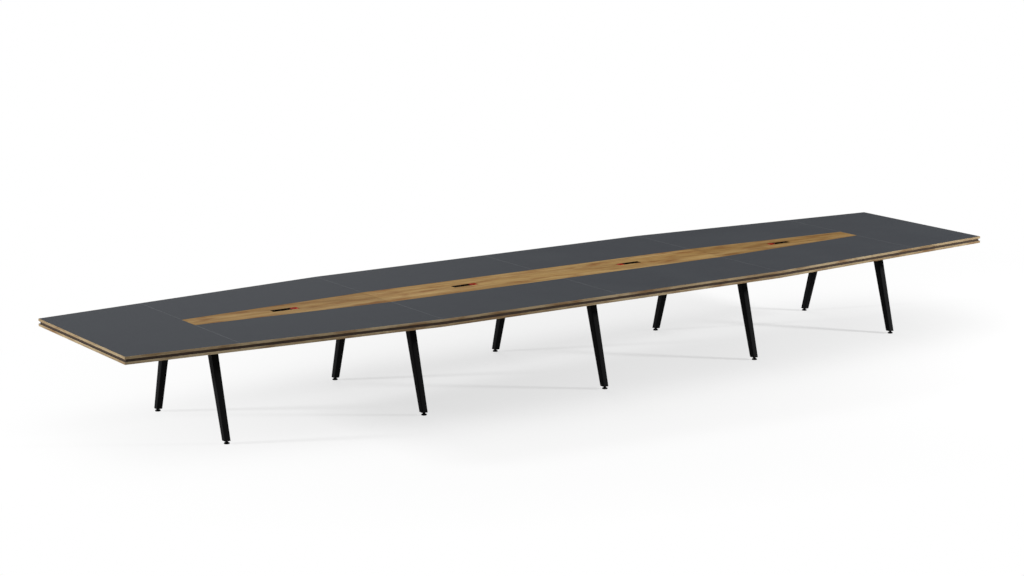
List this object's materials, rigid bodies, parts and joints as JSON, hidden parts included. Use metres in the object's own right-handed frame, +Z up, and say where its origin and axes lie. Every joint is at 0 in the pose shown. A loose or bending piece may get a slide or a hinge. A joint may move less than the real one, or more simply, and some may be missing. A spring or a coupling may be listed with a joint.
{
  "type": "conference table",
  "caption": "Long boat-shaped conference table with a layered grey and oak top, shadow gap, oak centre strip with flush sockets, and splayed tapered black legs on levelling feet.",
  "frame": {"origin": "on the floor under the middle of the table top", "axes": "+X along the table's length, +Y across it, +Z up"},
  "size_m": [7.6, 1.8, 0.74],
  "materials": {
    "grey_laminate": "matt anthracite laminate on chipboard",
    "oak": "satin golden oak laminate on chipboard",
    "dark_spacer": "matt dark brown laminate on chipboard",
    "black_steel": "satin black powder coat on steel",
    "black_plastic": "satin moulded plastic",
    "red_plastic": "satin moulded plastic",
    "foot_plastic": "matt moulded plastic pad on a steel stud"
  },
  "bodies": {
    "table": {"end_panel_left": "grey_laminate", "end_panel_right": "grey_laminate", "near_panel_1": "grey_laminate", "far_panel_1": "grey_laminate", "centre_strip_1": "oak", "near_panel_2": "grey_laminate", "far_panel_2": "grey_laminate", "centre_strip_2": "oak", "near_panel_3": "grey_laminate", "far_panel_3": "grey_laminate", "centre_strip_3": "oak", "near_panel_4": "grey_laminate", "far_panel_4": "grey_laminate", "centre_strip_4": "oak", "spacer_left": "dark_spacer", "lower_board_left": "oak", "spacer_middle": "dark_spacer", "lower_board_middle": "oak", "spacer_right": "dark_spacer", "lower_board_right": "oak", "leg_1_near": "black_steel", "leg_1_far": "black_steel", "cross_beam_1": "black_steel", "leg_2_near": "black_steel", "leg_2_far": "black_steel", "cross_beam_2": "black_steel", "leg_3_near": "black_steel", "leg_3_far": "black_steel", "cross_beam_3": "black_steel", "leg_4_near": "black_steel", "leg_4_far": "black_steel", "cross_beam_4": "black_steel", "leg_5_near": "black_steel", "leg_5_far": "black_steel", "cross_beam_5": "black_steel", "rail_near_left": "black_steel", "rail_near_right": "black_steel", "rail_far_left": "black_steel", "rail_far_right": "black_steel", "socket_housing_1": "black_plastic", "red_socket_1": "red_plastic", "socket_housing_2": "black_plastic", "red_socket_2": "red_plastic", "socket_housing_3": "black_plastic", "red_socket_3": "red_plastic", "socket_housing_4": "black_plastic", "red_socket_4": "red_plastic"},
    "foot_1_near": {"foot_1_near": "foot_plastic"},
    "foot_1_far": {"foot_1_far": "foot_plastic"},
    "foot_2_near": {"foot_2_near": "foot_plastic"},
    "foot_2_far": {"foot_2_far": "foot_plastic"},
    "foot_3_near": {"foot_3_near": "foot_plastic"},
    "foot_3_far": {"foot_3_far": "foot_plastic"},
    "foot_4_near": {"foot_4_near": "foot_plastic"},
    "foot_4_far": {"foot_4_far": "foot_plastic"},
    "foot_5_near": {"foot_5_near": "foot_plastic"},
    "foot_5_far": {"foot_5_far": "foot_plastic"}
  },
  "joints": [
    {"name": "foot_1_near_level", "type": "slide", "parent": "table", "child": "foot_1_near", "axis": [0, 0, -1], "range_m": [0, 0.015]},
    {"name": "foot_1_far_level", "type": "slide", "parent": "table", "child": "foot_1_far", "axis": [0, 0, -1], "range_m": [0, 0.015]},
    {"name": "foot_2_near_level", "type": "slide", "parent": "table", "child": "foot_2_near", "axis": [0, 0, -1], "range_m": [0, 0.015]},
    {"name": "foot_2_far_level", "type": "slide", "parent": "table", "child": "foot_2_far", "axis": [0, 0, -1], "range_m": [0, 0.015]},
    {"name": "foot_3_near_level", "type": "slide", "parent": "table", "child": "foot_3_near", "axis": [0, 0, -1], "range_m": [0, 0.015]},
    {"name": "foot_3_far_level", "type": "slide", "parent": "table", "child": "foot_3_far", "axis": [0, 0, -1], "range_m": [0, 0.015]},
    {"name": "foot_4_near_level", "type": "slide", "parent": "table", "child": "foot_4_near", "axis": [0, 0, -1], "range_m": [0, 0.015]},
    {"name": "foot_4_far_level", "type": "slide", "parent": "table", "child": "foot_4_far", "axis": [0, 0, -1], "range_m": [0, 0.015]},
    {"name": "foot_5_near_level", "type": "slide", "parent": "table", "child": "foot_5_near", "axis": [0, 0, -1], "range_m": [0, 0.015]},
    {"name": "foot_5_far_level", "type": "slide", "parent": "table", "child": "foot_5_far", "axis": [0, 0, -1], "range_m": [0, 0.015]}
  ]
}
